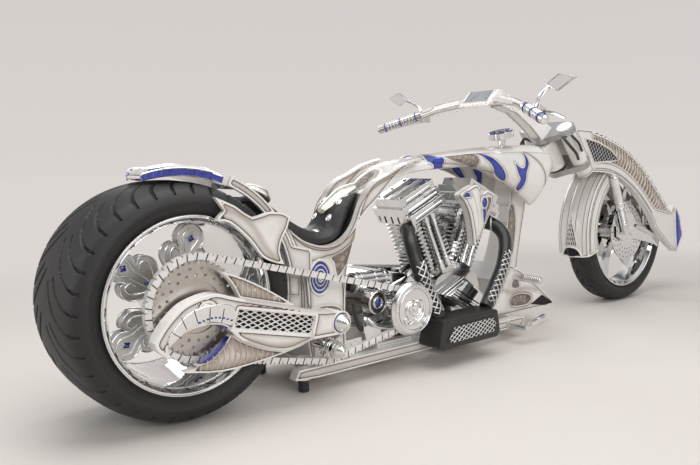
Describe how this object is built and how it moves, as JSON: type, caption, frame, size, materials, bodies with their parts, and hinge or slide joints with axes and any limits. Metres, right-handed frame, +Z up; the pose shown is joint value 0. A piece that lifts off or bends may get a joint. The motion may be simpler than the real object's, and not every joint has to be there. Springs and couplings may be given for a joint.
{
  "type": "chopper motorcycle",
  "caption": "Long low custom chopper motorcycle, pearl white and blue over chrome, with a wide rear tyre, raked trailing-link front end and parking legs.",
  "frame": {"origin": "on the floor under the middle of the motorcycle's length and width", "axes": "+X forward, +Y to the rider's left, +Z up"},
  "size_m": [3.19, 0.96, 1.008],
  "materials": {
    "white_paint": "pearl gloss",
    "chrome": "polished",
    "polished_aluminium": "polished",
    "steel": "brushed",
    "blue_lens": "gloss",
    "black_paint": "satin",
    "tyre": "matte",
    "leather": "smooth",
    "rubber": "matte"
  },
  "bodies": {
    "chassis": {"frame_spine": "white_paint", "frame_cradle": "white_paint", "steering_head": "white_paint", "tank": "white_paint", "side_panels": "white_paint", "seat_pan": "black_paint", "seat_pad": "leather", "seat_trim": "polished_aluminium", "tail_fender": "white_paint", "tail_lamps": "blue_lens", "tail_hoop": "white_paint", "swingarm": "white_paint", "swingarm_wings": "white_paint", "swingarm_grille": "white_paint", "swingarm_trim": "chrome", "rear_axle": "steel", "chain": "steel", "drive_sprockets": "steel", "sprocket_cover": "chrome", "transmission": "polished_aluminium", "primary_cover": "chrome", "crankcase": "polished_aluminium", "cylinders": "polished_aluminium", "rocker_boxes": "chrome", "cam_cover": "chrome", "carburettor": "polished_aluminium", "air_cleaner": "white_paint", "exhaust_pipes": "black_paint", "muffler_box": "black_paint", "chin_fairing": "white_paint", "forward_controls": "chrome", "chain_links": "white_paint", "gauge": "chrome"},
    "stand": {"stand_legs": "rubber"},
    "fork": {"yokes": "chrome", "front_beak": "white_paint", "beak_lamps": "blue_lens", "headlamp": "chrome", "front_fender": "white_paint", "trailing_links": "chrome", "shocks": "chrome", "handlebar": "white_paint", "grips": "polished_aluminium", "levers": "chrome", "mirrors": "chrome"},
    "front_wheel": {"front_wheel": "chrome", "front_tyre": "tyre"},
    "rear_wheel": {"rear_wheel": "chrome", "rear_tyre": "tyre", "rear_sprocket": "steel"}
  },
  "joints": [
    {"name": "rear_wheel_spin", "type": "hinge", "parent": "chassis", "child": "rear_wheel", "pos_m": [-1.2585, 0, 0.3365], "axis": [0, 1, 0], "continuous": true},
    {"name": "steering", "type": "hinge", "parent": "chassis", "child": "fork", "pos_m": [0.5785, 0, 0.733], "axis": [-0.6293, 0, 0.7771], "range_deg": [-25, 25]},
    {"name": "front_wheel_spin", "type": "hinge", "parent": "fork", "child": "front_wheel", "pos_m": [1.1415, 0, 0.35], "axis": [0, 1, 0], "continuous": true},
    {"name": "stand_lift", "type": "slide", "parent": "chassis", "child": "stand", "axis": [0, 0, 1], "range_m": [0, 0.05]}
  ]
}
